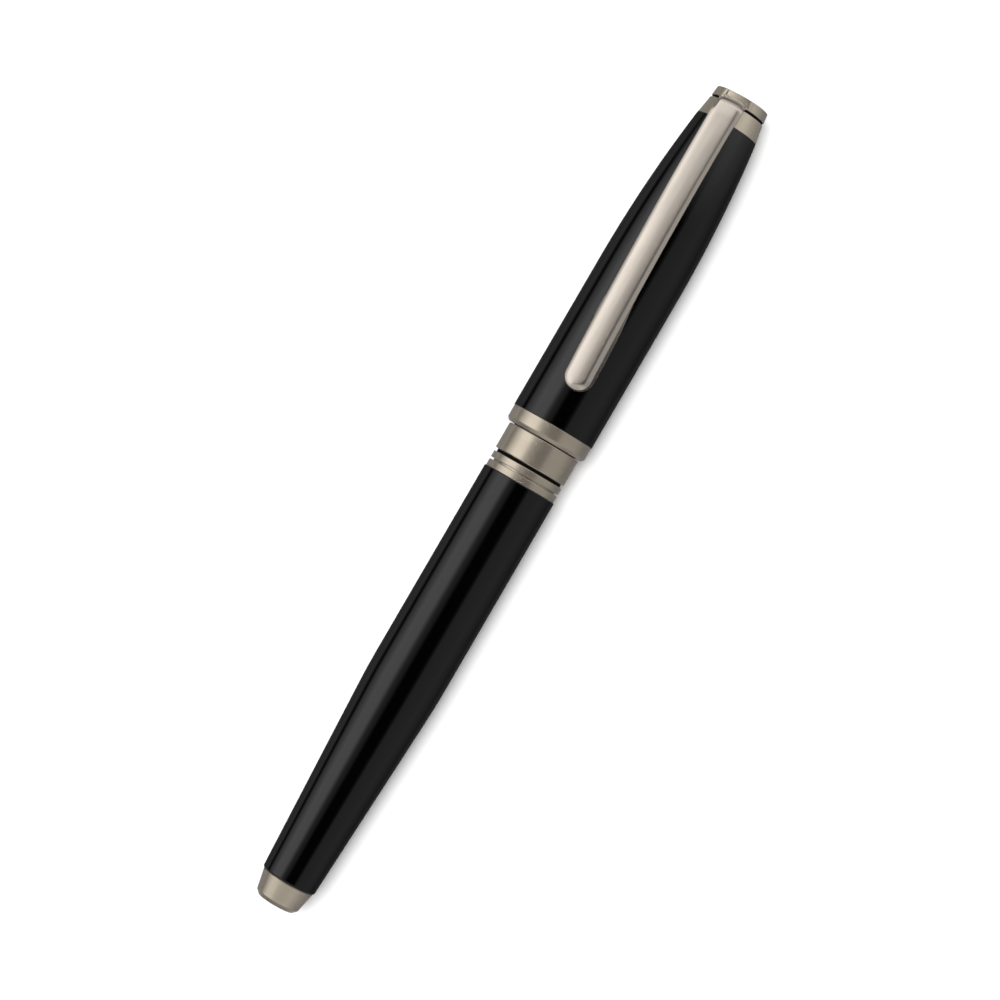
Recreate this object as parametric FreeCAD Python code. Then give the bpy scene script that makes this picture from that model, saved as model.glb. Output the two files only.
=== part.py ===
"""Capped rollerball pen: a tapered barrel, a screw-in front section that holds a sprung refill,
and a pull-off cap with a sprung clip.

The pen lies along X with the cap's end towards +X and the clip up. Its widest part, the cap,
rests on the plane z = 0, and the origin is under the middle of its length. Millimetres.
"""

import FreeCAD
import Part
import math
import os

# Overall sizes
overall_length = 137.0
cap_radius = 6.60
barrel_radius = 5.88

# Gaps between pieces
press = 0.02  # radial gap of a pushed or glued fit
running = 0.06  # radial gap between pieces that turn or slide on each other

# Barrel: stations along X
shell_mouth_x = 3.05
shell_tail_x = -64.6
barrel_cone_start_x = -31.46
barrel_cone_angle = 2.69  # degrees
barrel_blend_radius = 125.0
tail_cap_x = -64.7
trim_ring_end_x = 5.50
trim_ring_radius = 5.72

# Front section
band_x = 6.03
band_end_x = 10.24
band_radius = 5.80
grip_radius = 5.12
grip_end_x = 40.0
nose_end_x = 49.6
thread_pitch = 0.75
thread_depth = 0.42
thread_start_x = -2.4
thread_end_x = 3.6
thread_radius = 4.38
thread_bury = 0.10  # how far a thread's ridge is sunk into the piece that carries it
shank_radius = 4.41
clutch_x = 13.0
clutch_end_x = 15.4
clutch_radius = 5.34
clutch_wall = 0.50

# Refill: a standard 6 mm cartridge
refill_radius = 3.0
refill_back_x = -59.0
refill_tube_end_x = 34.0
refill_step_x = 40.55
refill_front_end_x = 45.0
point_radius = 1.18
ball_radius = 0.35
ball_x = 51.62

# Cap
cap_mouth_x = 10.43
cap_shell_x = 12.86
cap_bulge_x = 37.95
cap_bulge_radius = 203.0
cap_shell_end_x = 63.70
cap_bore_radius = clutch_radius + running
lip_radius = 6.52
liner_x = 18.05
liner_end_x = 58.6
top_ring_end_x = 66.67
finial_x = 66.98
finial_radius = 4.38
finial_flat_height = 3.87  # height above the axis of the flat under the clip's foot
screw_radius = 1.40
collar_radius = 2.52

# Clip
clip_tip_x = 19.0
clip_heel_x = 67.45
clip_tip_height = 8.90  # height above the axis of the clip's upper face at its tip
clip_slope = 0.05  # fall of the upper face for each millimetre towards the heel
clip_thickness = 0.90
clip_tip_half_width = 2.00
clip_heel_half_width = 2.10
tongue_x = 66.42
tongue_end_x = 67.12
tongue_half_width = 1.55
tongue_foot_height = 2.85

# Slot in the cap's end pieces for the clip's tongue
notch_x = 66.15
notch_end_x = 67.35
notch_half_width = 1.75
notch_floor_height = 2.55

half_length = overall_length / 2
origin = FreeCAD.Vector(0, 0, 0)
x_axis = FreeCAD.Vector(1, 0, 0)
touching = 1e-6
overrun = 0.1  # how far a cutting block passes the face that it cuts


def rounded_edges(corners):
    """Edges of a closed outline. A corner is a point, or a point and the radius that rounds it."""
    points = [FreeCAD.Vector(*corner[0]) for corner in corners]
    radii = [corner[1] if len(corner) > 1 else 0.0 for corner in corners]
    ends = []
    arcs = []
    for i, point in enumerate(points):
        if not radii[i]:
            ends.append((point, point))
            arcs.append(None)
            continue
        before = (points[i - 1] - point).normalize()
        after = (points[(i + 1) % len(points)] - point).normalize()
        half_angle = before.getAngle(after) / 2
        reach = radii[i] / math.tan(half_angle)
        middle = (before + after).normalize() * (radii[i] / math.sin(half_angle) - radii[i])
        ends.append((point + before * reach, point + after * reach))
        arcs.append(Part.Arc(ends[i][0], point + middle, ends[i][1]).toShape())
    edges = []
    for i, arc in enumerate(arcs):
        if arc:
            edges.append(arc)
        start = ends[i][1]
        stop = ends[(i + 1) % len(ends)][0]
        if (stop - start).Length > touching:
            edges.append(Part.LineSegment(start, stop).toShape())
    return edges


def turned(*outline):
    """A solid turned about the pen's axis. Each corner is (x, radius) or (x, radius, rounding)."""
    corners = [((c[0], 0, c[1]),) + tuple(c[2:]) for c in outline]
    face = Part.Face(Part.Wire(rounded_edges(corners)))
    return face.revolve(origin, x_axis, 360)


def tube(x, end_x, outer, inner):
    """A plain round tube, or a rod where the inner radius is 0."""
    return turned((x, inner), (x, outer), (end_x, outer), (end_x, inner))


def slab(corners, direction):
    """A flat outline, pushed along a direction."""
    return Part.Face(Part.Wire(rounded_edges(corners))).extrude(FreeCAD.Vector(*direction))


def box(x, end_x, half_width, z, end_z):
    """A block centred on the pen's middle plane."""
    corner = FreeCAD.Vector(x, -half_width, z)
    return Part.makeBox(end_x - x, 2 * half_width, end_z - z, corner)


def along_x(shape):
    """Turn a shape made along Z so that it runs along X."""
    shape.rotate(origin, FreeCAD.Vector(0, 1, 0), 90)
    return shape


def thread_ridge(x, turns, crest_radius, root_radius, crest_width, root_width):
    """A right-hand helical ridge with straight flanks, its crest outwards."""
    helix = Part.makeLongHelix(thread_pitch, turns * thread_pitch, root_radius, 0.0)
    section = Part.makePolygon(
        [
            FreeCAD.Vector(root_radius, 0, -root_width / 2),
            FreeCAD.Vector(crest_radius, 0, -crest_width / 2),
            FreeCAD.Vector(crest_radius, 0, crest_width / 2),
            FreeCAD.Vector(root_radius, 0, root_width / 2),
            FreeCAD.Vector(root_radius, 0, -root_width / 2),
        ]
    )
    ridge = helix.makePipeShell([section], True, True)
    ridge.translate(FreeCAD.Vector(0, 0, x))
    return along_x(ridge)


def barrel_cone_radius(x):
    """Radius of the barrel's taper at a station."""
    return barrel_radius - math.tan(math.radians(barrel_cone_angle)) * (barrel_cone_start_x - x)


# ---------- barrel ----------


def barrel_shell():
    bushing_seat_x = -9.5
    bushing_seat_radius = 5.05
    bore_radius = 4.60
    bore_end_x = -33.0
    tail_bore_x = -60.0
    tail_bore_radius = 3.62
    return turned(
        (shell_tail_x, tail_bore_radius),
        (shell_tail_x, barrel_cone_radius(shell_tail_x), 0.28),
        (barrel_cone_start_x, barrel_radius, barrel_blend_radius),
        (shell_mouth_x, barrel_radius, 0.12),
        (shell_mouth_x, bushing_seat_radius),
        (bushing_seat_x, bushing_seat_radius),
        (bushing_seat_x, bore_radius),
        (bore_end_x, bore_radius),
        (tail_bore_x, tail_bore_radius),
    )


def barrel_trim_ring():
    seat_radius = 5.05
    groove_x = 4.14
    groove_end_x = 4.48
    groove_radius = 5.53
    edge = 0.10
    return turned(
        (shell_mouth_x, seat_radius),
        (shell_mouth_x, trim_ring_radius, edge),
        (groove_x, trim_ring_radius, edge),
        (groove_x, groove_radius),
        (groove_end_x, groove_radius),
        (groove_end_x, trim_ring_radius, edge),
        (trim_ring_end_x, trim_ring_radius, edge),
        (trim_ring_end_x, seat_radius),
    )


def barrel_bushing():
    back_x = -9.4
    front_x = 5.42
    outer_radius = 5.03
    female_start_x = -3.2
    female_end_x = 4.1
    crest_radius = thread_radius - thread_depth + running
    relief_radius = shank_radius + running
    body = turned(
        (back_x, relief_radius),
        (back_x, outer_radius),
        (front_x, outer_radius),
        (front_x, relief_radius),
        (female_end_x, relief_radius),
        (female_end_x, crest_radius),
        (female_start_x, crest_radius),
        (female_start_x, relief_radius),
    )
    # the groove starts a whole number of turns before the male ridge, so the two stay in step
    turns_before = 3
    turns = 14
    bottom_width = 0.24
    mouth_width = 0.72
    groove = thread_ridge(
        thread_start_x - turns_before * thread_pitch,
        turns,
        thread_radius + running,
        crest_radius - thread_bury,
        bottom_width,
        mouth_width,
    )
    return body.cut(groove)


def tail_cap():
    spigot_x = -61.0
    spigot_radius = 3.60
    spring_bore_radius = 2.10
    spring_bore_x = -66.6
    shoulder_radius = 4.12
    chamfer_x = -67.88
    chamfer_radius = 3.47
    face_radius = 2.85
    return turned(
        (-half_length, 0),
        (-half_length, face_radius, 0.15),
        (chamfer_x, chamfer_radius, 0.20),
        (tail_cap_x, shoulder_radius, 0.08),
        (tail_cap_x, spigot_radius),
        (spigot_x, spigot_radius),
        (spigot_x, spring_bore_radius),
        (spring_bore_x, spring_bore_radius),
        (spring_bore_x, 0),
    )


def refill_spring():
    coil_radius = 1.62
    wire_radius = 0.17
    wire_sides = 6
    spring_seat_x = -66.6
    start_x = spring_seat_x + wire_radius + press
    length = refill_back_x - press - wire_radius - start_x
    turns = 6
    helix = Part.makeLongHelix(length / turns, length, coil_radius, 0.0)
    corners = []
    for side in range(wire_sides + 1):
        angle = 2 * math.pi * side / wire_sides
        across = coil_radius + wire_radius * math.cos(angle)
        corners.append(FreeCAD.Vector(across, 0, wire_radius * math.sin(angle)))
    spring = helix.makePipeShell([Part.makePolygon(corners)], True, True)
    spring.translate(FreeCAD.Vector(0, 0, start_x))
    return along_x(spring)


# ---------- front section ----------


def shoulder_washer():
    side_gap = 0.03
    inner_radius = shank_radius + running
    outer_radius = 5.35
    return tube(trim_ring_end_x + side_gap, band_x - side_gap, outer_radius, inner_radius)


def section_connector():
    bore_radius = 3.35
    flange_radius = 4.93
    spigot_end_x = 16.0
    spigot_radius = 4.00
    runout_x = 4.2
    core_radius = thread_radius - thread_depth
    body = turned(
        (thread_start_x, bore_radius),
        (thread_start_x, core_radius),
        (runout_x, core_radius),
        (runout_x, shank_radius),
        (band_x, shank_radius),
        (band_x, flange_radius),
        (band_end_x, flange_radius),
        (band_end_x, spigot_radius),
        (spigot_end_x, spigot_radius),
        (spigot_end_x, bore_radius),
    )
    turns = 10
    crest_width = 0.12
    root_width = 0.60
    ridge = thread_ridge(
        thread_start_x - thread_pitch,
        turns,
        thread_radius,
        core_radius - thread_bury,
        crest_width,
        root_width,
    )
    beyond_end = tube(thread_start_x - 4 * thread_pitch, thread_start_x, 2 * thread_radius, 0)
    return body.fuse(ridge).cut(beyond_end)


def section_band():
    edge = 0.15
    seat_radius = 4.95
    return turned(
        (band_x, seat_radius),
        (band_x, band_radius, edge),
        (band_end_x, band_radius, edge),
        (band_end_x, seat_radius),
    )


def section_grip():
    connector_seat_radius = 4.02
    connector_seat_end_x = 16.02
    bore_radius = 3.35
    nose_seat_x = 35.9
    nose_seat_radius = 3.60
    groove_radius = clutch_radius - clutch_wall - running
    taper_x = 19.0
    waist_x = 35.0
    waist_radius = 4.32
    end_radius = 4.66
    return turned(
        (band_end_x, connector_seat_radius),
        (band_end_x, grip_radius),
        (clutch_x, grip_radius),
        (clutch_x, groove_radius),
        (clutch_end_x, groove_radius),
        (clutch_end_x, grip_radius),
        (taper_x, grip_radius, 20.0),
        (waist_x, waist_radius, 24.0),
        (grip_end_x, end_radius, 0.22),
        (grip_end_x, nose_seat_radius),
        (nose_seat_x, nose_seat_radius),
        (nose_seat_x, bore_radius),
        (connector_seat_end_x, bore_radius),
        (connector_seat_end_x, connector_seat_radius),
    )


def section_nose():
    spigot_x = 36.0
    spigot_radius = 3.58
    back_radius = 4.42
    mid_x = 45.2
    mid_radius = 2.98
    tip_radius = 1.55
    step_x = refill_step_x + running
    step_end_x = refill_front_end_x + running
    step_bore_radius = 2.12
    return turned(
        (spigot_x, refill_radius + running),
        (spigot_x, spigot_radius),
        (grip_end_x, spigot_radius),
        (grip_end_x, back_radius, 0.10),
        (mid_x, mid_radius, 40.0),
        (nose_end_x, tip_radius, 0.12),
        (nose_end_x, point_radius + running),
        (step_end_x, point_radius + running),
        (step_end_x, step_bore_radius),
        (step_x, step_bore_radius),
        (step_x, refill_radius + running),
    )


def clutch_ring():
    side_gap = 0.05
    x = clutch_x + side_gap
    return tube(x, clutch_end_x - side_gap, clutch_radius, clutch_radius - clutch_wall)


# ---------- refill ----------

refill_wall = 0.25
refill_bore_radius = refill_radius - refill_wall
refill_plug_end_x = refill_back_x + 2.4
feed_x = 29.8
feed_radius = 0.85
feed_end_x = 46.0


def refill_tube():
    return tube(refill_back_x, refill_tube_end_x, refill_radius, refill_bore_radius)


def refill_end_plug():
    lip_depth = 0.30
    vent_radius = 0.40
    plug_radius = refill_bore_radius - press
    return tube(refill_back_x + lip_depth, refill_plug_end_x, plug_radius, vent_radius)


def refill_reservoir():
    fibre_gap = 0.08
    fibre_radius = refill_bore_radius - fibre_gap
    return tube(refill_plug_end_x + press, feed_x - press, fibre_radius, 0)


def refill_feed():
    return tube(feed_x, feed_end_x, feed_radius, 0)


def refill_front():
    sleeve_x = 30.0
    front_radius = 2.05
    point_seat_x = 43.6
    bore_radius = feed_radius + press
    return turned(
        (sleeve_x, bore_radius),
        (sleeve_x, refill_bore_radius - press),
        (refill_tube_end_x, refill_bore_radius - press),
        (refill_tube_end_x, refill_radius),
        (refill_step_x, refill_radius, 0.15),
        (refill_step_x, front_radius),
        (refill_front_end_x, front_radius, 0.15),
        (refill_front_end_x, point_radius + press),
        (point_seat_x, point_radius + press),
        (point_seat_x, bore_radius),
    )


def refill_point():
    seat_x = 43.6
    bore_radius = feed_radius + press
    cone_x = 50.3
    lip_reach = 0.12  # how far the lip closes past the middle of the ball
    lip_x = ball_x + lip_reach
    lip_radius = 0.44
    channel_radius = 0.16
    body = turned(
        (seat_x + press, bore_radius),
        (seat_x + press, point_radius),
        (cone_x, point_radius, 0.30),
        (lip_x, lip_radius),
        (lip_x, 0.0),
        (ball_x, 0.0),
        (ball_x, channel_radius),
        (feed_end_x + press, channel_radius),
        (feed_end_x + press, bore_radius),
    )
    socket = Part.makeSphere(ball_radius + press, FreeCAD.Vector(ball_x, 0, 0))
    return body.cut(socket)


def refill_ball():
    return Part.makeSphere(ball_radius, FreeCAD.Vector(ball_x, 0, 0))


# ---------- cap ----------


def cap_shell():
    sweep = math.asin((cap_shell_end_x - cap_bulge_x) / cap_bulge_radius)
    tangent_x = cap_bulge_x + cap_bulge_radius * math.tan(sweep / 2)
    end_radius = cap_radius - cap_bulge_radius * (1 - math.cos(sweep))
    bore_radius = 5.85
    waist_x = 52.0
    waist_bore_radius = 5.42
    end_bore_radius = 4.20
    return turned(
        (cap_shell_x, bore_radius),
        (cap_shell_x, cap_radius, 0.08),
        (tangent_x, cap_radius, cap_bulge_radius),
        (cap_shell_end_x, end_radius),
        (cap_shell_end_x, end_bore_radius),
        (waist_x, waist_bore_radius),
        (cap_bulge_x, bore_radius),
    )


def cap_lip_ring():
    mouth_face_radius = 6.14
    mouth_chamfer_x = 10.92
    sleeve_radius = 5.83
    sleeve_end_x = 18.0
    return turned(
        (cap_mouth_x, cap_bore_radius),
        (cap_mouth_x, mouth_face_radius, 0.10),
        (mouth_chamfer_x, lip_radius, 0.15),
        (cap_shell_x, lip_radius, 0.06),
        (cap_shell_x, sleeve_radius),
        (sleeve_end_x, sleeve_radius),
        (sleeve_end_x, cap_bore_radius),
    )


def cap_liner():
    outer_radius = 5.80
    waist_x = 52.0
    waist_outer_radius = 5.36
    waist_bore_radius = 4.50
    end_radius = 4.66
    floor_x = 57.6
    floor_radius = 4.30
    return turned(
        (liner_x, cap_bore_radius),
        (liner_x, outer_radius),
        (cap_bulge_x, outer_radius),
        (waist_x, waist_outer_radius),
        (liner_end_x, end_radius),
        (liner_end_x, screw_radius + press),
        (floor_x, screw_radius + press),
        (floor_x, floor_radius),
        (waist_x, waist_bore_radius),
        (cap_bulge_x, cap_bore_radius),
    )


def cap_top_ring():
    start_radius = 4.94
    end_radius = 4.45
    spigot_x = 61.4
    spigot_radius = 4.12
    bore_radius = screw_radius + press
    body = turned(
        (spigot_x, bore_radius),
        (spigot_x, spigot_radius),
        (cap_shell_end_x, spigot_radius),
        (cap_shell_end_x, start_radius, 0.06),
        (top_ring_end_x, end_radius),
        (top_ring_end_x, bore_radius),
    )
    return notched(body, notch_x, top_ring_end_x + overrun)


def notched(body, x, end_x):
    """The same piece with the slot that the clip's tongue passes down through."""
    body.rotate(origin, x_axis, 180)  # puts the turned solid's seam opposite the slot
    return body.cut(box(x, end_x, notch_half_width, notch_floor_height, cap_radius))


def cap_spacer():
    outer_radius = 4.20
    washer = tube(top_ring_end_x, finial_x, outer_radius, collar_radius + press)
    return notched(washer, top_ring_end_x - overrun, finial_x + overrun)


def clip_collar():
    return tube(top_ring_end_x, finial_x, collar_radius, screw_radius + press)


def cap_finial():
    rim_x = 68.28
    rim_radius = 4.15
    dome_x = 68.45
    dome_radius = 2.20
    hole_end_x = 67.95
    body = turned(
        (finial_x, screw_radius + press),
        (finial_x, finial_radius, 0.08),
        (rim_x, rim_radius, 0.32),
        (dome_x, dome_radius, 12.0),
        (half_length, 0),
        (hole_end_x, 0),
        (hole_end_x, screw_radius + press),
    )
    body = notched(body, finial_x - overrun, notch_end_x)
    x = finial_x - overrun
    end_x = half_length + overrun
    return body.cut(box(x, end_x, cap_radius, finial_flat_height, cap_radius))


def finial_screw():
    head_x = 56.8
    head_radius = 2.30
    head_end_x = 57.6
    shank_end_x = 67.9
    slot_half_width = 0.25
    slot_depth = 0.45
    body = turned(
        (head_x, 0),
        (head_x, head_radius, 0.15),
        (head_end_x, head_radius),
        (head_end_x, screw_radius),
        (shank_end_x, screw_radius),
        (shank_end_x, 0),
    )
    slot = box(head_x - overrun, head_x + slot_depth, slot_half_width, -head_radius, head_radius)
    return body.cut(slot)


def clip():
    def top(x):
        return clip_tip_height - clip_slope * (x - clip_tip_x)

    def underside(x):
        return top(x) - clip_thickness

    rest_gap = 0.08  # how far the clip stands off the cap and its end piece
    foot_x = 66.75
    foot_height = finial_flat_height + rest_gap
    root_height = 5.05
    root_x = 62.9
    strap_end_x = 61.2
    strap_x = 32.0
    pad_end_x = 27.0
    pad_x = 22.0
    pad_height = cap_radius + rest_gap
    lip_x = clip_tip_x + 0.2
    width = 2 * clip_heel_half_width
    bevel_width = 0.60
    bevel_depth = 0.39
    side = [
        (clip_tip_x, top(clip_tip_x) - bevel_depth),
        (clip_tip_x + bevel_width, top(clip_tip_x + bevel_width)),
        (clip_heel_x, top(clip_heel_x), 1.9),
        (clip_heel_x, foot_height),
        (foot_x, foot_height),
        (foot_x, root_height),
        (root_x, root_height, 0.8),
        (strap_end_x, underside(strap_end_x), 1.5),
        (strap_x, underside(strap_x), 8.0),
        (pad_end_x, pad_height, 8.0),
        (pad_x, pad_height, 3.0),
        (lip_x, underside(clip_tip_x)),
        (clip_tip_x, underside(clip_tip_x)),
    ]
    corners = [((c[0], -clip_heel_half_width, c[1]),) + tuple(c[2:]) for c in side]
    strap = slab(corners, (0, width, 0))
    tip_corner = 1.5
    heel_corner = 0.5
    plan = [
        ((clip_tip_x, -clip_tip_half_width, 0), tip_corner),
        ((clip_heel_x, -clip_heel_half_width, 0), heel_corner),
        ((clip_heel_x, clip_heel_half_width, 0), heel_corner),
        ((clip_tip_x, clip_tip_half_width, 0), tip_corner),
    ]
    strap = strap.common(slab(plan, (0, 0, 2 * cap_radius)))
    half_width = clip_heel_half_width
    run = clip_heel_x - clip_tip_x
    section = [
        ((clip_tip_x, -half_width, 0),),
        ((clip_tip_x, -half_width, clip_tip_height - bevel_depth),),
        ((clip_tip_x, bevel_width - half_width, clip_tip_height),),
        ((clip_tip_x, half_width - bevel_width, clip_tip_height),),
        ((clip_tip_x, half_width, clip_tip_height - bevel_depth),),
        ((clip_tip_x, half_width, 0),),
    ]
    strap = strap.common(slab(section, (run, 0, -clip_slope * run)))
    tongue_top = root_height + 0.15
    tongue = box(tongue_x, tongue_end_x, tongue_half_width, tongue_foot_height, tongue_top)
    return strap.fuse(tongue).removeSplitter()


pieces = {
    "barrel_shell": barrel_shell,
    "barrel_trim_ring": barrel_trim_ring,
    "barrel_bushing": barrel_bushing,
    "tail_cap": tail_cap,
    "refill_spring": refill_spring,
    "shoulder_washer": shoulder_washer,
    "section_connector": section_connector,
    "section_band": section_band,
    "section_grip": section_grip,
    "section_nose": section_nose,
    "clutch_ring": clutch_ring,
    "refill_tube": refill_tube,
    "refill_end_plug": refill_end_plug,
    "refill_reservoir": refill_reservoir,
    "refill_feed": refill_feed,
    "refill_front": refill_front,
    "refill_point": refill_point,
    "refill_ball": refill_ball,
    "cap_shell": cap_shell,
    "cap_lip_ring": cap_lip_ring,
    "cap_liner": cap_liner,
    "cap_top_ring": cap_top_ring,
    "cap_spacer": cap_spacer,
    "clip_collar": clip_collar,
    "cap_finial": cap_finial,
    "finial_screw": finial_screw,
    "clip": clip,
}

os.makedirs("parts", exist_ok=True)
for name, make in pieces.items():
    shape = make()
    shape.translate(FreeCAD.Vector(0, 0, cap_radius))
    shape.exportStep(f"parts/{name}.step")
    bounds = shape.BoundBox
    print(
        f"{name:18s} valid {shape.isValid()} solids {len(shape.Solids)} volume {shape.Volume:9.3f}"
        f" x {bounds.XMin:7.2f}..{bounds.XMax:7.2f} z {bounds.ZMin:6.2f}..{bounds.ZMax:6.2f}"
    )
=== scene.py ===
"""Capped rollerball pen in black lacquer with satin gunmetal trim.

The pen lies along X with its clip up, on a plain white floor. The pieces' sizes and places are in
millimetres, from the middle of the pen's length and from its axis. finish_mesh scales them to
metres and lifts them to the axis. Everything else is in metres.
"""

import math

import bpy
from mathutils import Matrix, Vector


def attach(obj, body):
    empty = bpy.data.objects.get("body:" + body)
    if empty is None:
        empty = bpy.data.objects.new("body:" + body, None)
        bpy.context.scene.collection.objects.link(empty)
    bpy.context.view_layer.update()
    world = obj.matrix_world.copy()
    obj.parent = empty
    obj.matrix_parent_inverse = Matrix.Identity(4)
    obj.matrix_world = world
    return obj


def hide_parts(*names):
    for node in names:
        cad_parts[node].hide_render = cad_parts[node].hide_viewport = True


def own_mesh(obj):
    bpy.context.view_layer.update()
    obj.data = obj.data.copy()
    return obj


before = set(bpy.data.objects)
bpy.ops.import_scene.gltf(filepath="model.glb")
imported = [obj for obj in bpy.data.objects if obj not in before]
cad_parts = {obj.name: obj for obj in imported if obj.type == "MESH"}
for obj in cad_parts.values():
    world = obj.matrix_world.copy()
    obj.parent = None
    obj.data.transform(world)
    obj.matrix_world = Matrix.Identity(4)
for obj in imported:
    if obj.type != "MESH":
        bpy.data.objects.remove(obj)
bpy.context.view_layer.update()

MM = 0.001
AXIS_HEIGHT = 6.6  # of the pen's axis above the floor, mm

# Main stations along the pen and radii, mm
HALF_LENGTH = 68.5
TAIL_SHOULDER = -64.7
BARREL_TAIL = -64.6
BARREL_MOUTH = 3.05
TRIM_END = 5.50
BAND = 6.03
BAND_END = 10.24
LIP = 10.43
CAP_MOUTH = 12.86
GRIP_END = 40.0
CAP_TUBE_END = 63.70
TOP_RING_END = 66.57
FINIAL = 66.98
BARREL_RADIUS = 5.88
TRIM_RADIUS = 5.72
TRIM_BORE = 5.05
BAND_RADIUS = 5.80
GRIP_RADIUS = 5.12
CAP_RADIUS = 6.60
LIP_RADIUS = 6.52
SCREW_HOLE = 1.42


def add_node(tree, kind, **settings):
    node = tree.nodes.new(kind)
    for key, value in settings.items():
        setattr(node, key, value)
    return node


def smooth_step(value, low, high):
    share = min(1.0, max(0.0, (value - low) / (high - low)))
    return share * share * (3 - 2 * share)


# ---------- outlines ----------


def outline(*corners, closed=True):
    """Points along straight runs and round corners. A corner is (x, height) or (x, height, rounding)."""
    finest_turn = math.radians(9)
    count = len(corners)
    spots = [Vector((c[0], c[1])) for c in corners]
    points = []
    for i, spot in enumerate(spots):
        radius = corners[i][2] if len(corners[i]) > 2 else 0.0
        if not radius or (not closed and i in (0, count - 1)):
            points.append(spot)
            continue
        before = (spots[i - 1] - spot).normalized()
        after = (spots[(i + 1) % count] - spot).normalized()
        half_angle = before.angle(after) / 2
        reach = radius / math.tan(half_angle)
        centre = spot + (before + after).normalized() * (radius / math.sin(half_angle))
        start = spot + before * reach - centre
        turn = start.angle_signed(spot + after * reach - centre)
        steps = max(4, math.ceil(abs(turn) / finest_turn), math.ceil(abs(turn) * radius))
        for step in range(steps + 1):
            angle = -turn * step / steps
            cos, sin = math.cos(angle), math.sin(angle)
            points.append(
                centre + Vector((start.x * cos - start.y * sin, start.x * sin + start.y * cos))
            )
    return supported(points, closed)


def supported(points, closed):
    """The same points, with one more close to each end of a long run so that its shading stays flat."""
    near = 0.04
    long_run = 0.25
    result = []
    last = len(points) if closed else len(points) - 1
    for i, point in enumerate(points):
        result.append(point)
        if i >= last:
            continue
        step = points[(i + 1) % len(points)] - point
        if step.length > long_run:
            result.append(point + step * (near / step.length))
            result.append(point + step * (1 - near / step.length))
    return result


def height_at(points, x):
    for a, b in zip(points, points[1:]):
        if a.x <= x <= b.x:
            return a.y + (b.y - a.y) * (x - a.x) / max(b.x - a.x, 1e-9)
    return points[-1].y


# ---------- pieces ----------


def finish_mesh(name, vertices, faces, body, material, replaced, sharp=32):
    """A piece of the given body that stands for CAD nodes, with edges over `sharp` degrees kept hard."""
    mesh = bpy.data.meshes.new(name)
    mesh.from_pydata([Vector((x, y, AXIS_HEIGHT + z)) * MM for x, y, z in vertices], [], faces)
    mesh.validate()
    for polygon in mesh.polygons:
        polygon.use_smooth = True
    mesh.set_sharp_from_angle(angle=math.radians(sharp))
    mesh.materials.append(material)
    piece = bpy.data.objects.new(name, mesh)
    bpy.context.scene.collection.objects.link(piece)
    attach(piece, body)
    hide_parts(*replaced)
    return piece


def lathe(name, points, body, material, replaced, shape=None, segments=288):
    """A closed outline turned about the pen's axis. shape(x, y, z) moves a point."""
    vertices = []
    rings = []
    for x, radius in points:
        if radius < 1e-6:
            rings.append([len(vertices)] * segments)
            vertices.append((x, 0.0, 0.0))
            continue
        rings.append(list(range(len(vertices), len(vertices) + segments)))
        for i in range(segments):
            angle = 2 * math.pi * i / segments
            spot = (x, radius * math.sin(angle), radius * math.cos(angle))
            vertices.append(shape(*spot) if shape else spot)
    faces = []
    for ring, following in zip(rings, rings[1:] + rings[:1]):
        if ring[0] == ring[1] and following[0] == following[1]:
            continue
        for i in range(segments):
            j = (i + 1) % segments
            corners = [ring[i], following[i], following[j], ring[j]]
            faces.append(list(dict.fromkeys(corners)))
    finish_mesh(name, vertices, faces, body, material, replaced)


# ---------- materials ----------


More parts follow.
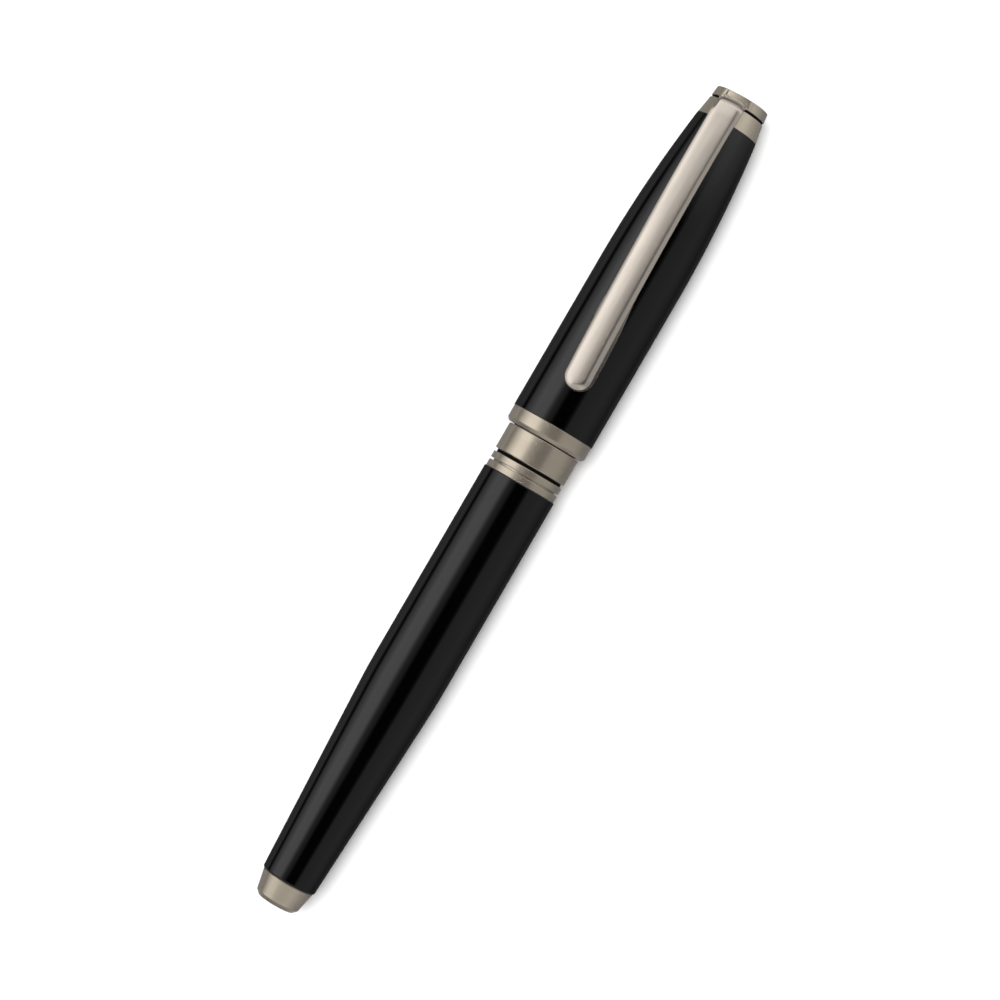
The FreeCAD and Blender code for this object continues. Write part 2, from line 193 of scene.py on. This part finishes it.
class Finish:
    """A Principled material whose texture follows the pen: turned lines run round it, grain along it."""

    def __init__(self, name, colour, metallic=0.0, roughness=0.5, specular=0.5):
        self.material = bpy.data.materials.new(name)
        self.material.use_nodes = True
        self.tree = self.material.node_tree
        self.colour = colour
        self.roughness = roughness
        self.shader = self.tree.nodes["Principled BSDF"]
        self.set("Base Color", (*colour, 1.0))
        self.set("Metallic", metallic)
        self.set("Roughness", roughness)
        self.set("IOR", 1.5)
        self.set("Specular IOR Level", specular)
        self.place = self.node("ShaderNodeTexCoord").outputs["Object"]

    def set(self, socket, value):
        self.shader.inputs[socket].default_value = value

    def node(self, kind, **settings):
        return add_node(self.tree, kind, **settings)

    def link(self, source, target):
        self.tree.links.new(source, target)

    def math(self, operation, first, second=None):
        node = self.node("ShaderNodeMath", operation=operation)
        for socket, value in zip(node.inputs, (first, second)):
            if value is None:
                continue
            if isinstance(value, (int, float)):
                socket.default_value = value
            else:
                self.link(value, socket)
        return node.outputs[0]

    def turned_place(self, fine, around):
        """Coordinates for marks that run round the pen: fine along it and across its end faces."""
        split = self.node("ShaderNodeSeparateXYZ")
        self.link(self.place, split.inputs[0])
        height = self.math("SUBTRACT", split.outputs["Z"], AXIS_HEIGHT * MM)
        across = self.math("MULTIPLY", split.outputs["Y"], split.outputs["Y"])
        radius = self.math("SQRT", self.math("ADD", across, self.math("MULTIPLY", height, height)))
        along = self.math("ADD", split.outputs["X"], radius)
        join = self.node("ShaderNodeCombineXYZ")
        self.link(self.math("MULTIPLY", along, fine), join.inputs["X"])
        self.link(self.math("MULTIPLY", split.outputs["Y"], around), join.inputs["Y"])
        self.link(self.math("MULTIPLY", height, around), join.inputs["Z"])
        return join.outputs[0]

    def scaled_place(self, x, y, z):
        scale = self.node("ShaderNodeVectorMath", operation="MULTIPLY")
        self.link(self.place, scale.inputs[0])
        scale.inputs[1].default_value = (x, y, z)
        return scale.outputs[0]

    def noise(self, place, scale=1.0, detail=2.0, rough=0.5):
        node = self.node("ShaderNodeTexNoise")
        self.link(place, node.inputs["Vector"])
        node.inputs["Scale"].default_value = scale
        node.inputs["Detail"].default_value = detail
        node.inputs["Roughness"].default_value = rough
        return node.outputs["Fac"]

    def vary_roughness(self, value, amount):
        spread = self.node("ShaderNodeMapRange")
        self.link(value, spread.inputs["Value"])
        spread.inputs["From Min"].default_value = 0.3
        spread.inputs["From Max"].default_value = 0.7
        spread.inputs["To Min"].default_value = self.roughness - amount
        spread.inputs["To Max"].default_value = self.roughness + amount
        self.link(spread.outputs["Result"], self.shader.inputs["Roughness"])

    def vary_colour(self, value, darker, lighter):
        ramp = self.node("ShaderNodeValToRGB")
        self.link(value, ramp.inputs["Fac"])
        for element, spot, level in zip(ramp.color_ramp.elements, (0.3, 0.7), (darker, lighter)):
            element.position = spot
            element.color = (*[c * level for c in self.colour], 1.0)
        self.link(ramp.outputs["Color"], self.shader.inputs["Base Color"])

    def bump(self, value, depth):
        """Relief of the given depth in metres."""
        node = self.node("ShaderNodeBump")
        node.inputs["Distance"].default_value = depth
        node.inputs["Strength"].default_value = 1.0
        self.link(value, node.inputs["Height"])
        self.link(node.outputs["Normal"], self.shader.inputs["Normal"])


def lacquer():
    finish = Finish("black_lacquer", (0.0005, 0.0005, 0.0006), roughness=0.04)
    peel = finish.noise(finish.place, scale=900.0, detail=1.0)
    haze = finish.noise(finish.place, scale=120.0, detail=3.0)
    finish.vary_roughness(haze, 0.012)
    finish.vary_colour(haze, 0.8, 1.2)
    finish.bump(peel, 0.0000025)
    return finish.material


def resin():
    finish = Finish("black_resin", (0.006, 0.006, 0.0065), roughness=0.12)
    flow = finish.noise(finish.scaled_place(300, 900, 900), detail=2.0)
    finish.vary_roughness(flow, 0.04)
    finish.vary_colour(flow, 0.8, 1.25)
    finish.bump(finish.noise(finish.place, scale=2500.0), 0.000001)
    return finish.material


def turned_metal(name, colour, roughness, streak=0.03):
    """Satin metal with fine lines left round it by the lathe."""
    fine = 9000.0
    finish = Finish(name, colour, metallic=0.82, roughness=roughness)
    lines = finish.noise(finish.turned_place(fine, 90.0), detail=3.0, rough=0.6)
    broad = finish.noise(finish.turned_place(fine / 12, 40.0), detail=2.0)
    finish.vary_roughness(lines, 0.02)
    finish.vary_colour(broad, 1 - streak, 1 + streak)
    finish.bump(lines, 0.0000001)
    finish.set("Sheen Weight", 0.2)
    finish.set("Sheen Roughness", 0.4)
    finish.set("Sheen Tint", (1.0, 0.93, 0.95, 1.0))
    return finish.material


def drawn_metal(name, colour, roughness):
    """Satin metal with its grain along the pen."""
    finish = Finish(name, colour, metallic=0.93, roughness=roughness)
    grain = finish.noise(finish.scaled_place(350, 14000, 14000), detail=3.0, rough=0.6)
    broad = finish.noise(finish.scaled_place(120, 900, 900), detail=2.0)
    finish.vary_roughness(grain, 0.04)
    finish.vary_colour(broad, 0.96, 1.04)
    finish.bump(grain, 0.0000003)
    return finish.material


def moulded(name, colour, roughness, grain=4000.0, relief=0.000003, specular=0.5):
    finish = Finish(name, colour, roughness=roughness, specular=specular)
    skin = finish.noise(finish.place, scale=grain, detail=3.0)
    finish.vary_roughness(skin, 0.06)
    finish.vary_colour(skin, 0.85, 1.15)
    finish.bump(skin, relief)
    return finish.material


black_lacquer = lacquer()
black_resin = resin()
gunmetal = turned_metal("satin_gunmetal", (0.475, 0.418, 0.335), 0.24)
clip_metal = drawn_metal("satin_gunmetal_clip", (0.60, 0.54, 0.475), 0.20)
brass = turned_metal("brass", (0.72, 0.5, 0.22), 0.28)
spring_steel = drawn_metal("spring_steel", (0.55, 0.55, 0.54), 0.25)
refill_metal = drawn_metal("refill_metal", (0.62, 0.62, 0.63), 0.3)
clutch_steel = turned_metal("clutch_steel", (0.42, 0.41, 0.4), 0.25)
point_steel = turned_metal("point_steel", (0.5, 0.485, 0.45), 0.2)
ball_carbide = turned_metal("ball_carbide", (0.5, 0.5, 0.51), 0.1, streak=0.02)
washer_rubber = moulded("black_washer", (0.002, 0.0018, 0.0016), 0.7, specular=0.1)
liner_plastic = moulded("cap_liner_plastic", (0.05, 0.05, 0.055), 0.45)
refill_plastic = moulded("refill_plastic", (0.03, 0.03, 0.032), 0.4)
ink_fibre = moulded("ink_fibre", (0.06, 0.06, 0.07), 0.9, grain=9000.0, relief=0.00001)

cad_finishes = {
    "barrel_shell": black_lacquer,
    "barrel_trim_ring": gunmetal,
    "barrel_bushing": brass,
    "tail_cap": gunmetal,
    "refill_spring": spring_steel,
    "shoulder_washer": washer_rubber,
    "section_connector": brass,
    "section_band": gunmetal,
    "section_grip": black_resin,
    "section_nose": gunmetal,
    "clutch_ring": clutch_steel,
    "refill_tube": refill_metal,
    "refill_end_plug": refill_plastic,
    "refill_reservoir": ink_fibre,
    "refill_feed": ink_fibre,
    "refill_front": refill_plastic,
    "refill_point": point_steel,
    "refill_ball": ball_carbide,
    "cap_shell": black_lacquer,
    "cap_lip_ring": gunmetal,
    "cap_liner": liner_plastic,
    "cap_top_ring": gunmetal,
    "cap_spacer": washer_rubber,
    "clip_collar": spring_steel,
    "cap_finial": gunmetal,
    "finial_screw": brass,
    "clip": clip_metal,
}
for name, material in cad_finishes.items():
    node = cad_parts[name]
    node.data.materials.clear()
    node.data.materials.append(material)


# ---------- barrel ----------


def make_barrel():
    bore = 4.6
    bushing_seat = -9.5
    tail_bore = 3.62
    tube = outline(
        (BARREL_TAIL, tail_bore),
        (BARREL_TAIL, 4.323, 0.28),
        (-31.46, BARREL_RADIUS, 125.0),
        (BARREL_MOUTH, BARREL_RADIUS, 0.12),
        (BARREL_MOUTH, TRIM_BORE),
        (bushing_seat, TRIM_BORE),
        (bushing_seat, bore),
        (-33.0, bore),
        (-60.0, tail_bore),
    )
    lathe("barrel_tube", tube, "barrel", black_lacquer, ["barrel_shell"])


def make_trim_ring():
    groove, groove_end, groove_radius = 4.14, 4.48, 5.12
    edge = 0.10
    ring = outline(
        (BARREL_MOUTH, TRIM_BORE),
        (BARREL_MOUTH, TRIM_RADIUS, edge),
        (groove, TRIM_RADIUS, edge),
        (groove, groove_radius),
        (groove_end, groove_radius),
        (groove_end, TRIM_RADIUS, edge),
        (TRIM_END, TRIM_RADIUS, edge),
        (TRIM_END, TRIM_BORE),
    )
    lathe("barrel_ring", ring, "barrel", gunmetal, ["barrel_trim_ring"])


def make_tail_end():
    spigot_end, spigot_radius = -61.0, 3.60
    spring_bore_end, spring_bore = -66.6, 2.10
    tail = outline(
        (-HALF_LENGTH, 0),
        (-HALF_LENGTH, 2.85, 0.15),
        (-67.88, 3.47, 0.20),
        (TAIL_SHOULDER, 4.12, 0.08),
        (TAIL_SHOULDER, spigot_radius),
        (spigot_end, spigot_radius),
        (spigot_end, spring_bore),
        (spring_bore_end, spring_bore),
        (spring_bore_end, 0),
    )
    lathe("tail_end", tail, "barrel", gunmetal, ["tail_cap"])


make_barrel()
make_trim_ring()
make_tail_end()


# ---------- front section ----------


def make_band():
    bore, edge = 4.95, 0.15
    band = outline(
        (BAND, bore), (BAND, BAND_RADIUS, edge), (BAND_END, BAND_RADIUS, edge), (BAND_END, bore)
    )
    lathe("section_collar", band, "section", gunmetal, ["section_band"])


def make_grip():
    groove, groove_end, groove_radius = 13.0, 15.4, 4.78
    connector_end, connector_seat = 16.02, 4.02
    nose_seat, nose_seat_end = 3.60, 35.9
    bore = 3.35
    grip = outline(
        (BAND_END, connector_seat),
        (BAND_END, GRIP_RADIUS),
        (groove, GRIP_RADIUS),
        (groove, groove_radius),
        (groove_end, groove_radius),
        (groove_end, GRIP_RADIUS),
        (19.0, GRIP_RADIUS, 20.0),
        (35.0, 4.32, 24.0),
        (GRIP_END, 4.66, 0.22),
        (GRIP_END, nose_seat),
        (nose_seat_end, nose_seat),
        (nose_seat_end, bore),
        (connector_end, bore),
        (connector_end, connector_seat),
    )
    lathe("grip", grip, "section", black_resin, ["section_grip"])


def make_nose():
    spigot, spigot_radius = 36.0, 3.58
    tip, tip_bore = 49.6, 1.24
    front_seat, front_seat_radius = 45.06, 2.12
    step, bore = 40.61, 3.06
    nose = outline(
        (spigot, bore),
        (spigot, spigot_radius),
        (GRIP_END, spigot_radius),
        (GRIP_END, 4.42, 0.10),
        (45.2, 2.98, 40.0),
        (tip, 1.55, 0.12),
        (tip, tip_bore),
        (front_seat, tip_bore),
        (front_seat, front_seat_radius),
        (step, front_seat_radius),
        (step, bore),
    )
    lathe("nose", nose, "section", gunmetal, ["section_nose"])


make_band()
make_grip()
make_nose()


# ---------- cap ----------


def make_cap_tube():
    tube = outline(
        (CAP_MOUTH, 5.85),
        (CAP_MOUTH, CAP_RADIUS, 0.08),
        (50.852, CAP_RADIUS, 203.0),
        (CAP_TUBE_END, 4.956),
        (CAP_TUBE_END, 4.20),
        (52.0, 5.42),
        (37.95, 5.85),
    )
    lathe("cap_tube", tube, "cap", black_lacquer, ["cap_shell"])


def make_cap_lip():
    bore, sleeve_end, sleeve_radius = 5.40, 18.0, 5.83
    lip = outline(
        (LIP, bore),
        (LIP, 6.14, 0.10),
        (10.92, LIP_RADIUS, 0.15),
        (CAP_MOUTH, LIP_RADIUS, 0.06),
        (CAP_MOUTH, sleeve_radius),
        (sleeve_end, sleeve_radius),
        (sleeve_end, bore),
    )
    lathe("cap_lip", lip, "cap", gunmetal, ["cap_lip_ring"])


def make_top_ring():
    spigot, spigot_radius = 61.4, 4.12
    ring = outline(
        (spigot, SCREW_HOLE),
        (spigot, spigot_radius),
        (CAP_TUBE_END, spigot_radius),
        (CAP_TUBE_END, 4.94, 0.06),
        (TOP_RING_END, 4.45, 0.05),
        (TOP_RING_END, SCREW_HOLE),
    )
    lathe("cap_end_ring", ring, "cap", gunmetal, ["cap_top_ring"])


FLAT_HEIGHT = 3.90  # of the finial's flat above the axis, at its higher side
FLAT_ROLL = 0.10  # its drop in height for each mm across


def flat_at(y):
    """Height above the axis of the finial's flat, which leans a little to one side."""
    higher_side = -2.1
    return FLAT_HEIGHT - FLAT_ROLL * (y - higher_side)


def with_flat(x, y, z):
    """Moves the finial's points towards its flat, which tapers to the end between two soft grooves."""
    half_width = 2.14 - 0.10 * (x - FINIAL)
    groove_width, groove_depth = 0.45, 0.07
    fade, fade_length, fade_share = 67.6, 0.8, 0.6
    edge = abs(abs(y) - half_width)
    if z <= 0 or abs(y) > half_width + groove_width:
        return x, y, z
    if abs(y) <= half_width:
        cut = 0.998 * (z - min(z, flat_at(y)))  # just short of the flat, so that no two points meet
        z -= cut * (1 - fade_share * max(0.0, min(1.0, (x - fade) / fade_length)))
    if edge < groove_width:
        z -= groove_depth * 0.5 * (1 + math.cos(math.pi * edge / groove_width))
    return x, y, z


def make_finial():
    hole_end = 67.95
    finial = outline(
        (FINIAL, SCREW_HOLE),
        (FINIAL, 4.40, 0.06),
        (68.45, 4.25, 0.11),
        (HALF_LENGTH, 2.90, 6.0),
        (HALF_LENGTH, 0),
        (hole_end, 0),
        (hole_end, SCREW_HOLE),
    )
    lathe(
        "finial",
        finial,
        "cap",
        gunmetal,
        ["cap_finial"],
        shape=with_flat,
        segments=720,
    )


make_cap_tube()
make_cap_lip()
make_top_ring()
make_finial()


# ---------- clip ----------

TIP = 18.8
HEEL = 67.56
TIP_CORNER = 2.0  # the rounding of its outline, seen from above
HEEL_CORNER = 0.6
TIP_HEIGHT = 8.91  # of the upper face above the pen's axis
SLOPE = 0.05
THICKNESS = 0.90
FOOT = 66.75  # from here to the heel the clip lies on the finial's flat
FOOT_HEIGHT = 5.05
FILM = 0.006  # its least thickness there


def upper_height(x):
    return TIP_HEIGHT - SLOPE * (x - TIP)


def lower_height(x):
    return upper_height(x) - THICKNESS


def clip_top():
    """The upper face as (x, height) points, down over the heel to the finial's flat."""
    bend = 66.82
    return outline(
        (TIP, upper_height(TIP)),
        (bend, upper_height(bend), 1.15),
        (67.44, FLAT_HEIGHT + 0.02, 0.08),
        (HEEL, FLAT_HEIGHT + 0.005),
        closed=False,
    )


def clip_under():
    """The underside as (x, height) points: the pad under the tip, the strip, and its foot."""
    pad_height = 6.68
    pad_end, strip, strip_end = 27.0, 32.0, 61.2
    return outline(
        (TIP, lower_height(TIP)),
        (TIP + 0.05, lower_height(TIP) - 0.25, 0.1),
        (20.7, pad_height, 1.8),
        (pad_end, pad_height, 8.0),
        (strip, lower_height(strip), 8.0),
        (strip_end, lower_height(strip_end), 1.5),
        (62.9, FOOT_HEIGHT, 0.8),
        (FOOT, FOOT_HEIGHT),
        closed=False,
    )


def clip_share(x):
    """0 at the tip to 1 at the heel."""
    return (x - TIP) / (HEEL - TIP)


def clip_middle(x):
    """The clip's middle line leans and curves a little to one side."""
    shift, lean, curve = 0.04, 0.0273, 0.0006
    along = x - 42.4
    return shift + lean * along - curve * along * along


def full_half_width(x):
    return 2.06 + 0.08 * clip_share(x)


def clip_half_width(x):
    full = full_half_width(x)
    if x < TIP + TIP_CORNER:
        return full - TIP_CORNER + math.sqrt(TIP_CORNER**2 - (TIP + TIP_CORNER - x) ** 2)
    if x > HEEL - HEEL_CORNER:
        return full - HEEL_CORNER + math.sqrt(HEEL_CORNER**2 - (x - HEEL + HEEL_CORNER) ** 2)
    return full


def edge_distance(x, y):
    """How far a point of the clip's plan is inside its outline."""
    from_tip = x - TIP
    from_side = full_half_width(x) - abs(y)
    if from_tip < TIP_CORNER and from_side < TIP_CORNER:
        return TIP_CORNER - math.hypot(TIP_CORNER - from_tip, TIP_CORNER - from_side)
    return min(from_tip, from_side)


def clip_crown(x, y):
    """How far the upper face lies below its highest line, with y from the clip's middle line.

    A soft bevel runs round its edge, wider on the -Y side. The face between leans down towards +Y
    from the crease along that wide bevel, rounded at the tip, then flat and steeper near the heel.
    Both are gone where the clip meets the finial's flat.
    """
    side = smooth_step(y, -0.7, 0.7)  # 0 on the -Y side to 1 on the other
    middle = smooth_step(x, 40.0, 57.0)
    rear = smooth_step(x, 59.0, 64.0)
    heel = smooth_step(x, 64.2, 65.8)
    wide_bevel, narrow_bevel = 0.74 - 0.24 * clip_share(x), 0.42 + 0.06 * heel
    wide_steepness, narrow_steepness = 0.66, 0.57 + 0.55 * heel
    width = wide_bevel * (1 - side) + narrow_bevel * side
    depth = width * (wide_steepness * (1 - side) + narrow_steepness * side)
    crease = -1.4
    from_crease = max(0.0, y - crease)
    steady = 0.02 + 0.04 * middle + 0.044 * rear + 0.034 * heel
    growing = 0.030 - 0.018 * middle - 0.012 * rear
    lean = steady * from_crease + growing * from_crease * from_crease
    inward = (width - edge_distance(x, y)) * depth / width
    soft = 0.17
    rounded = 0.5 * (inward + math.sqrt(inward * inward + soft * soft))
    return (lean + rounded) * (1 - smooth_step(x, 66.9, 67.5))


def corner_stations(end, corner):
    """Stations from an end of the clip past its round corners, closest together at the end."""
    steps = 20
    return [end + corner * (1 - math.cos(math.pi / 2 * i / steps)) for i in range(steps + 1)]


def clip_stations(upper, under):
    runs = 180
    first, last = TIP + TIP_CORNER, HEEL - HEEL_CORNER
    stations = corner_stations(TIP, TIP_CORNER) + corner_stations(HEEL, -HEEL_CORNER)
    stations += [first + (last - first) * i / runs for i in range(1, runs)]
    stations += [p.x for p in upper + under if first < p.x < last]
    return sorted(set(round(s, 3) for s in stations))


def clip_columns():
    """Places across the clip from -1 to 1, closer together near its sides."""
    count = 72
    even = [2 * i / count - 1 for i in range(count + 1)]
    return [math.sin(share * math.pi / 2) * 0.6 + share * 0.4 for share in even]


def clip_top_row(upper, x, columns):
    half = clip_half_width(x)
    row = []
    for share in columns:
        y = clip_middle(x) + half * share
        early = 0.35 * abs(share) ** 3 * smooth_step(x, 64.5, 66.7)  # its shoulders bend down first
        height = height_at(upper, min(x + early, HEEL)) - clip_crown(x, half * share)
        row.append((x, y, max(height, flat_at(y) + FILM)))
    return row


def clip_under_row(under, x, columns):
    """The underside is wider than the upper face along the pad."""
    flare = (0.15 + 0.18 * smooth_step(x, 19.0, 25.0)) * (1 - smooth_step(x, 28.5, 36.0))
    out = 0.12 * (1 - smooth_step(x, TIP, TIP + TIP_CORNER))
    half = clip_half_width(x) + flare
    row = []
    for share in columns:
        y = clip_middle(x) + half * share
        low = height_at(under, x) if x < FOOT else flat_at(y) + FILM / 3
        row.append((x - out, y, low))
    return row


def grid_of(vertices, rows):
    """Adds rows of points and returns rows of their numbers."""
    grid = []
    for row in rows:
        grid.append(list(range(len(vertices), len(vertices) + len(row))))
        vertices += row
    return grid


def add_foot_block(vertices, faces):
    """The block that joins the clip to its collar, inside the gap below the finial."""
    start = len(vertices)
    for x in (66.42, 67.12):
        for y in (-1.55, 1.55):
            for z in (2.85, 5.2):
                vertices.append((x, y, z))
    for face in ((0, 1, 3, 2), (4, 6, 7, 5), (0, 4, 5, 1), (2, 3, 7, 6), (0, 2, 6, 4), (1, 5, 7, 3)):
        faces.append([start + i for i in face])


def make_clip():
    upper, under = clip_top(), clip_under()
    stations, columns = clip_stations(upper, under), clip_columns()
    vertices, faces = [], []
    top = grid_of(vertices, [clip_top_row(upper, x, columns) for x in stations])
    bottom = grid_of(vertices, [clip_under_row(under, x, columns) for x in stations])
    for grid, flip in ((top, False), (bottom, True)):
        for a, b in zip(grid, grid[1:]):
            for k in range(len(columns) - 1):
                quad = [a[k], b[k], b[k + 1], a[k + 1]]
                faces.append(quad[::-1] if flip else quad)
    for i in range(len(stations) - 1):
        faces.append([top[i][0], bottom[i][0], bottom[i + 1][0], top[i + 1][0]])
        faces.append([top[i + 1][-1], bottom[i + 1][-1], bottom[i][-1], top[i][-1]])
    for k in range(len(columns) - 1):
        faces.append([top[0][k + 1], bottom[0][k + 1], bottom[0][k], top[0][k]])
        faces.append([top[-1][k], bottom[-1][k], bottom[-1][k + 1], top[-1][k + 1]])
    add_foot_block(vertices, faces)
    finish_mesh(
        "clip_strap", vertices, faces, "clip", clip_metal, ["clip"], sharp=26
    )


make_clip()


# ---------- refill spring ----------


def make_spring():
    """A round-wire coil between the tail end and the refill."""
    coil, wire = 1.62, 0.17
    seat, length, turns = -66.41, 7.22, 6
    per_turn, sides = 40, 12
    total = turns * per_turn
    sections = []
    for i in range(total + 1):
        turn = 2 * math.pi * i / per_turn
        x = seat + length * i / total
        section = []
        for side in range(sides):
            angle = 2 * math.pi * side / sides
            radius = coil + wire * math.cos(angle)
            section.append(
                (x + wire * math.sin(angle), radius * math.sin(turn), radius * math.cos(turn))
            )
        sections.append(section)
    vertices, faces = [], []
    rings = grid_of(vertices, sections)
    for a, b in zip(rings, rings[1:]):
        for side in range(sides):
            other = (side + 1) % sides
            faces.append([a[side], a[other], b[other], b[side]])
    faces.append(rings[0][::-1])
    faces.append(rings[-1])
    return finish_mesh(
        "refill_coil", vertices, faces, "barrel", spring_steel, ["refill_spring"]
    )


coil = make_spring()
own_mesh(coil)


# ---------- floor ----------


def make_floor():
    size, drop = 3.0, 2e-5
    mesh = bpy.data.meshes.new("floor")
    corners = [(-size, -size), (size, -size), (size, size), (-size, size)]
    mesh.from_pydata([(x, y, -drop) for x, y in corners], [], [(0, 1, 2, 3)])
    paper = Finish("floor_paper", (0.86, 0.86, 0.86), roughness=0.9, specular=0.0)
    paper.vary_colour(paper.noise(paper.place, scale=300.0, detail=3.0), 0.995, 1.005)
    mesh.materials.append(paper.material)
    floor = bpy.data.objects.new("floor", mesh)
    bpy.context.scene.collection.objects.link(floor)
    floor.visible_glossy = False
    return floor


floor = make_floor()


# ---------- light ----------

CAMERA_TILT = math.radians(9)  # of the camera about the pen, away from the clip's middle plane
toward_camera = Vector((0, -math.sin(CAMERA_TILT), math.cos(CAMERA_TILT)))
across = Vector((0, -math.cos(CAMERA_TILT), -math.sin(CAMERA_TILT)))  # to the pen's -Y side

# the studio round the pen: (degrees from toward_camera, up to 90 at across; brightness)
studio_bands = [
    (-180, 0.05),
    (-140, 0.10),
    (-127, 0.18),
    (-116, 0.27),
    (-112, 0.25),
    (-108, 0.14),
    (-104, 0.02),
    (-100, 0.02),
    (-95, 0.18),
    (-91, 0.50),
    (-85, 0.66),
    (-75, 1.03),
    (-70, 1.25),
    (-65, 1.42),
    (-40, 1.42),
    (-35, 1.20),
    (-31, 0.80),
    (-26, 0.45),
    (-23, 0.32),
    (-15, 0.22),
    (-8, 0.05),
    (-4, 0.0),
    (22, 0.0),
    (28, 0.06),
    (31, 0.14),
    (35, 0.31),
    (47, 0.345),
    (84, 0.355),
    (107, 0.19),
    (121, 0.09),
    (180, 0.06),
]

# its two ends, lit from above: (degrees from toward_camera, share of the end's brightness)
end_bands = [
    (-180, 0.35),
    (-150, 0.25),
    (-115, 0.08),
    (-95, 0.25),
    (-70, 1.0),
    (58, 1.0),
    (80, 0.62),
    (110, 0.40),
    (180, 0.35),
]

# from 0 at the tail's end to 1 at the cap's: the ends' brightness, and how far they take over
end_levels = [(0.05, 0.4), (0.22, 0.72), (0.65, 1.2), (0.80, 0.95), (0.95, 0.4)]
end_blend = [(0.20, 1.0), (0.37, 0.0), (0.60, 0.0), (0.72, 0.95)]


def level_ramp(tree, value, spots, peak=1.0):
    """A grey ramp through (place, level) spots, as shares of the peak."""
    ramp = add_node(tree, "ShaderNodeValToRGB")
    tree.links.new(value, ramp.inputs["Fac"])
    elements = ramp.color_ramp.elements
    elements.remove(elements[-1])
    for i, (spot, level) in enumerate(spots):
        element = elements[0] if i == 0 else elements.new(spot)
        element.position = spot
        element.color = (level / peak, level / peak, level / peak, 1.0)
    return ramp.outputs["Color"]


def band_ramp(tree, turn, bands, peak=1.0):
    spots = [((degrees + 180) / 360, level) for degrees, level in bands]
    return level_ramp(tree, turn, spots, peak)


def share_between(tree, value, low, high):
    spread = add_node(tree, "ShaderNodeMapRange")
    spread.inputs["From Min"].default_value = low
    spread.inputs["From Max"].default_value = high
    tree.links.new(value, spread.inputs["Value"])
    return spread.outputs["Result"]


def mix_colours(tree, share, first, second, blend_type="MIX"):
    mix = add_node(tree, "ShaderNodeMixRGB", blend_type=blend_type)
    if isinstance(share, float):
        mix.inputs["Fac"].default_value = share
    else:
        tree.links.new(share, mix.inputs["Fac"])
    tree.links.new(first, mix.inputs["Color1"])
    tree.links.new(second, mix.inputs["Color2"])
    return mix.outputs["Color"]


def make_studio():
    """Soft bands of light along the pen for it to reflect, in front of a plain white background."""
    peak = 1.5
    world = bpy.data.worlds.new("studio")
    bpy.context.scene.world = world
    world.use_nodes = True
    tree = world.node_tree
    tree.nodes.clear()
    direction = add_node(tree, "ShaderNodeTexCoord").outputs["Generated"]
    angle = add_node(tree, "ShaderNodeMath", operation="ARCTAN2")
    for socket, vector in zip(angle.inputs, (across, toward_camera)):
        dot = add_node(tree, "ShaderNodeVectorMath", operation="DOT_PRODUCT")
        tree.links.new(direction, dot.inputs[0])
        dot.inputs[1].default_value = vector
        tree.links.new(dot.outputs["Value"], socket)
    turn = share_between(tree, angle.outputs[0], -math.pi, math.pi)
    split = add_node(tree, "ShaderNodeSeparateXYZ")
    tree.links.new(direction, split.inputs[0])
    along = share_between(tree, split.outputs["X"], -1.0, 1.0)
    end_level = level_ramp(tree, along, end_levels, peak)
    end_share = band_ramp(tree, turn, end_bands)
    ends = mix_colours(tree, 1.0, end_level, end_share, "MULTIPLY")
    bands = band_ramp(tree, turn, studio_bands, peak)
    studio = mix_colours(tree, level_ramp(tree, along, end_blend), bands, ends)
    lit = add_node(tree, "ShaderNodeBackground")
    lit.inputs["Strength"].default_value = peak
    tree.links.new(studio, lit.inputs["Color"])
    plain = add_node(tree, "ShaderNodeBackground")
    plain.inputs["Color"].default_value = (1, 1, 1, 1)
    plain.inputs["Strength"].default_value = 1.0
    mix = add_node(tree, "ShaderNodeMixShader")
    seen = add_node(tree, "ShaderNodeLightPath").outputs["Is Camera Ray"]
    tree.links.new(seen, mix.inputs["Fac"])
    tree.links.new(lit.outputs[0], mix.inputs[1])
    tree.links.new(plain.outputs[0], mix.inputs[2])
    out = add_node(tree, "ShaderNodeOutputWorld")
    tree.links.new(mix.outputs[0], out.inputs["Surface"])


def make_key_light():
    """A wide soft sun, almost straight above."""
    lean = math.radians(1)
    lamp = bpy.data.lights.new("key", "SUN")
    lamp.energy = 3.0
    lamp.angle = math.radians(28)
    key = bpy.data.objects.new("key", lamp)
    bpy.context.scene.collection.objects.link(key)
    toward_key = Vector((0, -math.sin(lean), math.cos(lean)))
    key.rotation_mode = "QUATERNION"
    key.rotation_quaternion = toward_key.to_track_quat("Z", "Y")
    key.visible_glossy = False


make_studio()
make_key_light()


# ---------- camera ----------


def make_camera():
    """Above the pen and a little to one side, with the pen slanting up to the right."""
    frame_width = 147.5 * MM  # across the view at the pen's axis
    slant = math.radians(30.21)  # of the pen's axis from the view's upright
    distance = 0.472
    offset = 1.28325 * MM  # of the view's middle from the axis
    lengthwise = Vector((1, 0, 0))
    right = lengthwise * math.sin(slant) + across * math.cos(slant)
    up = lengthwise * math.cos(slant) - across * math.sin(slant)
    target = Vector((-0.457, 0, AXIS_HEIGHT)) * MM - across * offset
    place = target + toward_camera * distance
    lens = bpy.data.cameras.new("camera")
    lens.sensor_width = 36.0
    lens.lens = lens.sensor_width * distance / frame_width
    lens.clip_start = 0.01
    camera = bpy.data.objects.new("camera", lens)
    bpy.context.scene.collection.objects.link(camera)
    columns = Matrix((right, up, toward_camera)).transposed()
    camera.matrix_world = Matrix.Translation(place) @ columns.to_4x4()
    return camera


bpy.context.scene.camera = make_camera()
bpy.context.scene.view_settings.view_transform = "Standard"
